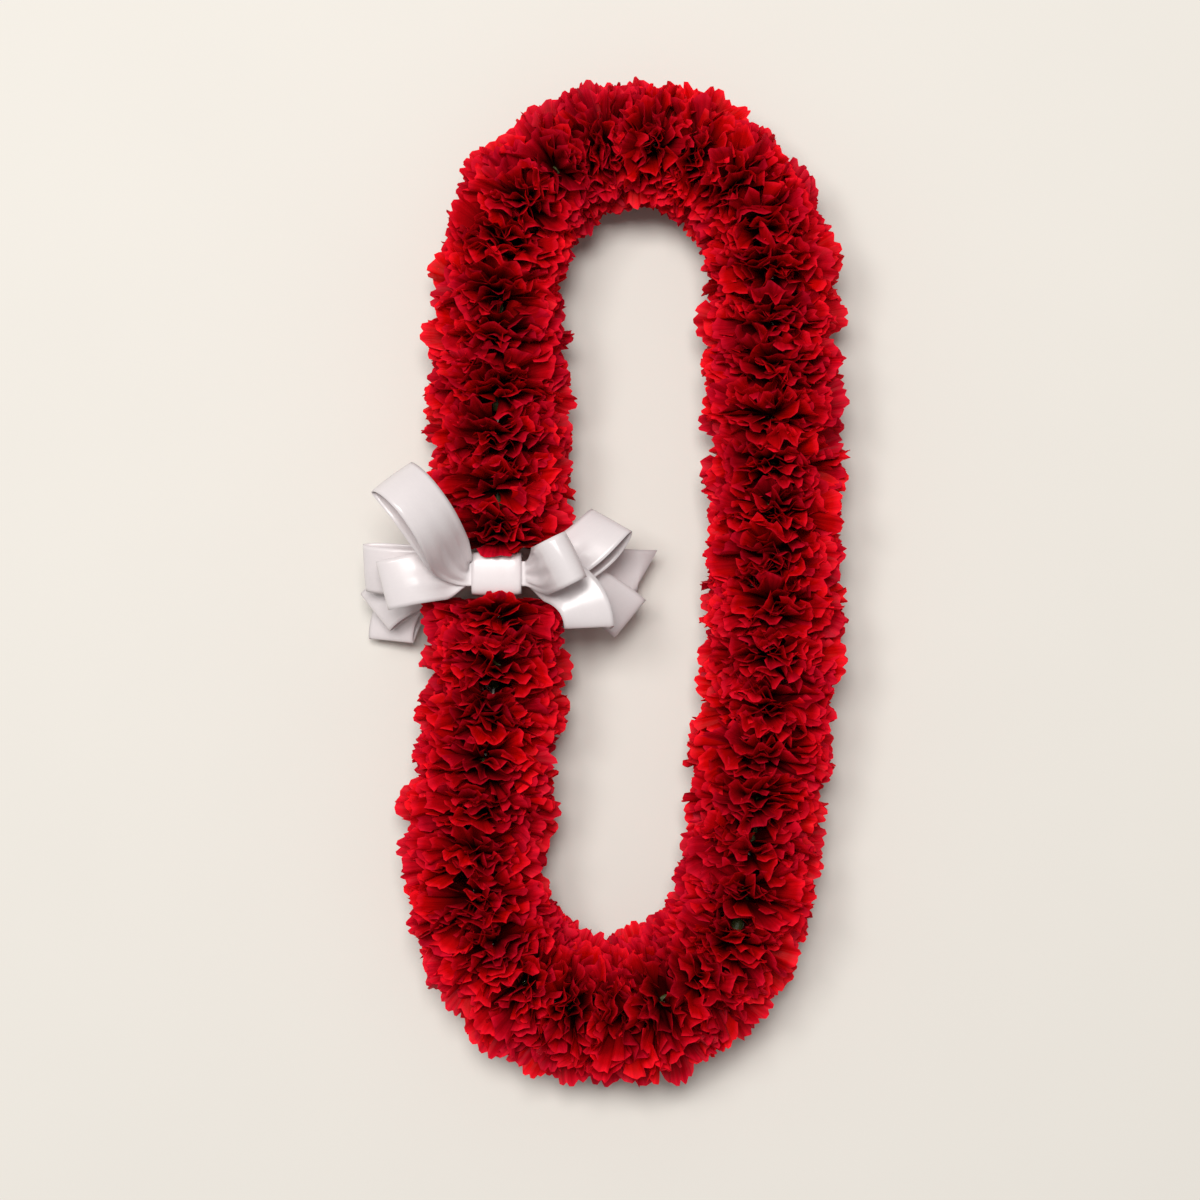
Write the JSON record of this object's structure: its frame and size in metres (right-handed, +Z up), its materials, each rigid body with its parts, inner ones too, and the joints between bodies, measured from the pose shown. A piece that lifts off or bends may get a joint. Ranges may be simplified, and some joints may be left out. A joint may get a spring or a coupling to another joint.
{
  "type": "fresh flower lei",
  "caption": "Long oval lei of fresh ruffled red carnation heads strung on a tied cord, with a white satin ribbon bow on one arm, lying flat.",
  "frame": {"origin": "on the surface that the lei lies on, under the middle of its bounding box", "axes": "+Z up, +Y along the lei's long way, away from the foot; the bow is on the -X arm, facing up"},
  "size_m": [0.2394, 0.4984, 0.0967],
  "materials": {
    "petals": "velvety fresh carnation petals, matte with a soft sheen, deep red in the folds and brighter at the fringed edges",
    "satin": "white single-face satin ribbon, smooth with broad soft highlights",
    "cord": "plain twisted white cotton cord"
  },
  "bodies": {
    "root": {"bow_loop_left_back": "satin", "bow_loop_left_front": "satin", "bow_loop_left_hanging": "satin", "bow_loop_left_lower": "satin", "bow_loop_left_upper": "satin", "bow_loop_right_back": "satin", "bow_loop_right_front": "satin", "bow_loop_right_lower": "satin", "bow_loop_right_upper": "satin", "bow_tail_right": "satin", "bow_tie": "satin", "bow_wrap": "satin", "carnation_01": "petals", "carnation_02": "petals", "carnation_03": "petals", "carnation_04": "petals", "carnation_05": "petals", "carnation_06": "petals", "carnation_07": "petals", "carnation_08": "petals", "carnation_09": "petals", "carnation_10": "petals", "carnation_11": "petals", "carnation_12": "petals", "carnation_13": "petals", "carnation_14": "petals", "carnation_15": "petals", "carnation_16": "petals", "carnation_17": "petals", "carnation_18": "petals", "carnation_19": "petals", "carnation_20": "petals", "carnation_21": "petals", "carnation_22": "petals", "carnation_23": "petals", "carnation_24": "petals", "carnation_25": "petals", "carnation_26": "petals", "carnation_27": "petals", "carnation_28": "petals", "carnation_29": "petals", "carnation_30": "petals", "carnation_31": "petals", "carnation_32": "petals", "carnation_33": "petals", "carnation_34": "petals", "carnation_35": "petals", "carnation_36": "petals", "carnation_37": "petals", "carnation_38": "petals", "carnation_39": "petals", "carnation_40": "petals", "carnation_41": "petals", "carnation_42": "petals", "cord": "cord"}
  },
  "joints": []
}
